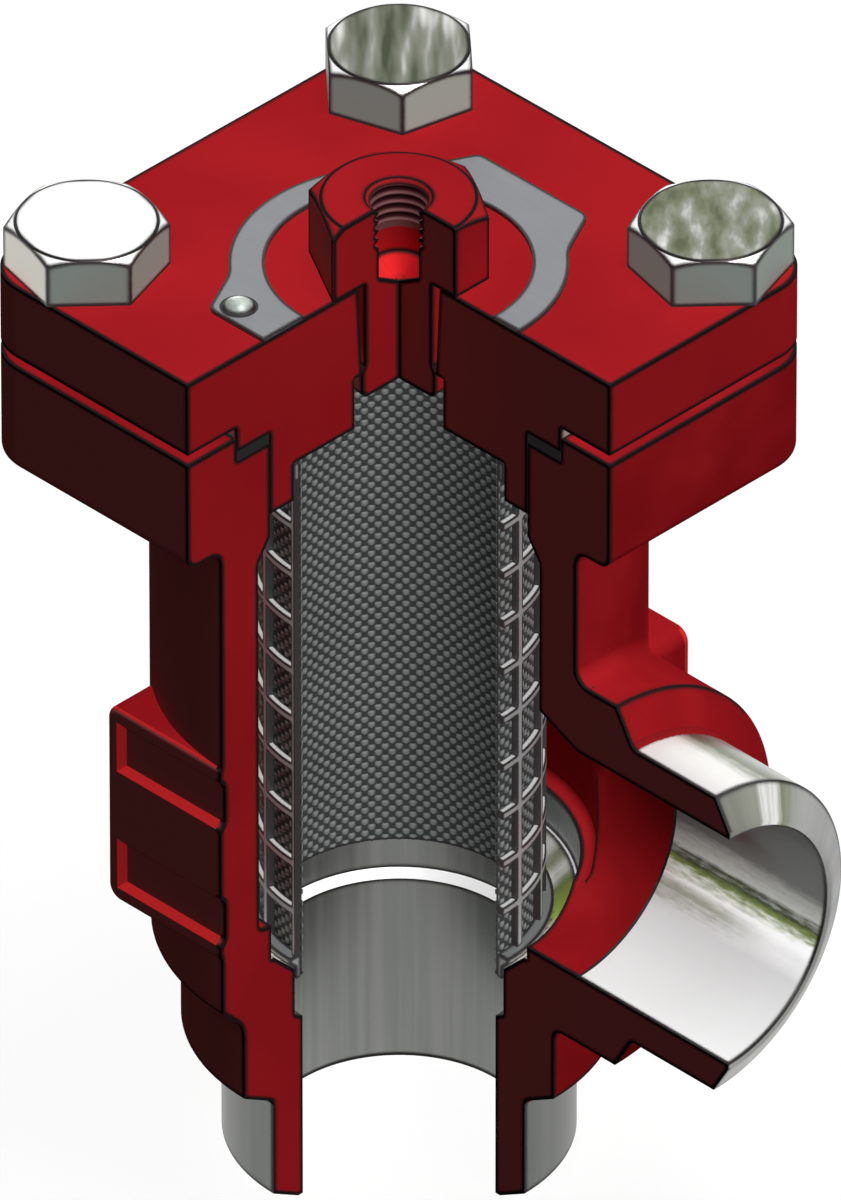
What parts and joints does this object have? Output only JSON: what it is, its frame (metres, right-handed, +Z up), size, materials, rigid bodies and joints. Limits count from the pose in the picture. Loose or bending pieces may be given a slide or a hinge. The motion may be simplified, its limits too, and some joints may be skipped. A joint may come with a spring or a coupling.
{
  "type": "angle strainer",
  "caption": "Angle strainer with butt-weld pipe ends at right angles and a bolted square cover, its front quarter cut away to show the caged wire screen that lifts out.",
  "frame": {"origin": "centre of the inlet end face, on the axis of the body and the inlet bore", "axes": "+Z up the body's axis from the inlet to the cover, +X along the outlet, and the quarter with +X and -Y is cut away"},
  "size_m": [0.0904, 0.0708, 0.1362],
  "materials": {
    "red_casting": "painted casting",
    "red_cover": "painted, smooth",
    "red_plug": "painted, smooth",
    "gasket_fibre": "matt fibre sheet",
    "bright_steel": "bright plated",
    "bare_plate": "bare, matt",
    "rivet_metal": "smooth",
    "stainless_cage": "dull stainless sheet",
    "stainless_wire": "woven stainless wire"
  },
  "bodies": {
    "housing": {"housing_inlet": "red_casting", "housing_barrel": "red_casting", "housing_outlet": "red_casting", "housing_flange": "red_casting"},
    "gasket": {"cover_gasket": "gasket_fibre"},
    "cover": {"cover": "red_cover", "id_ring": "bare_plate", "drive_rivet": "rivet_metal"},
    "strainer": {"strainer_cage": "stainless_cage", "strainer_screen": "stainless_wire", "strainer_head_ring": "stainless_cage", "strainer_foot_ring": "stainless_cage"},
    "bolt_left": {"bolt_left": "bright_steel"},
    "bolt_rear": {"bolt_rear": "bright_steel"},
    "bolt_right": {"bolt_right": "bright_steel"},
    "screw_plug": {"screw_plug": "red_plug"}
  },
  "joints": [
    {"name": "cover_lift", "type": "slide", "parent": "housing", "child": "cover", "axis": [0, 0, 1], "range_m": [0, 0.17]},
    {"name": "strainer_lift", "type": "slide", "parent": "housing", "child": "strainer", "axis": [0, 0, 1], "range_m": [0, 0.085]},
    {"name": "gasket_lift", "type": "slide", "parent": "housing", "child": "gasket", "axis": [0, 0, 1], "range_m": [0, 0.0204]},
    {"name": "bolt_left_draw", "type": "slide", "parent": "cover", "child": "bolt_left", "axis": [0, 0, 1], "range_m": [0, 0.035]},
    {"name": "bolt_rear_draw", "type": "slide", "parent": "cover", "child": "bolt_rear", "axis": [0, 0, 1], "range_m": [0, 0.035]},
    {"name": "bolt_right_draw", "type": "slide", "parent": "cover", "child": "bolt_right", "axis": [0, 0, 1], "range_m": [0, 0.035]},
    {"name": "plug_draw", "type": "slide", "parent": "cover", "child": "screw_plug", "axis": [0, 0, 1], "range_m": [0, 0.025]}
  ],
  "couplings": [
    {"joint": "strainer_lift", "follows": "cover_lift", "ratio": 0.5},
    {"joint": "gasket_lift", "follows": "cover_lift", "ratio": 0.12}
  ]
}
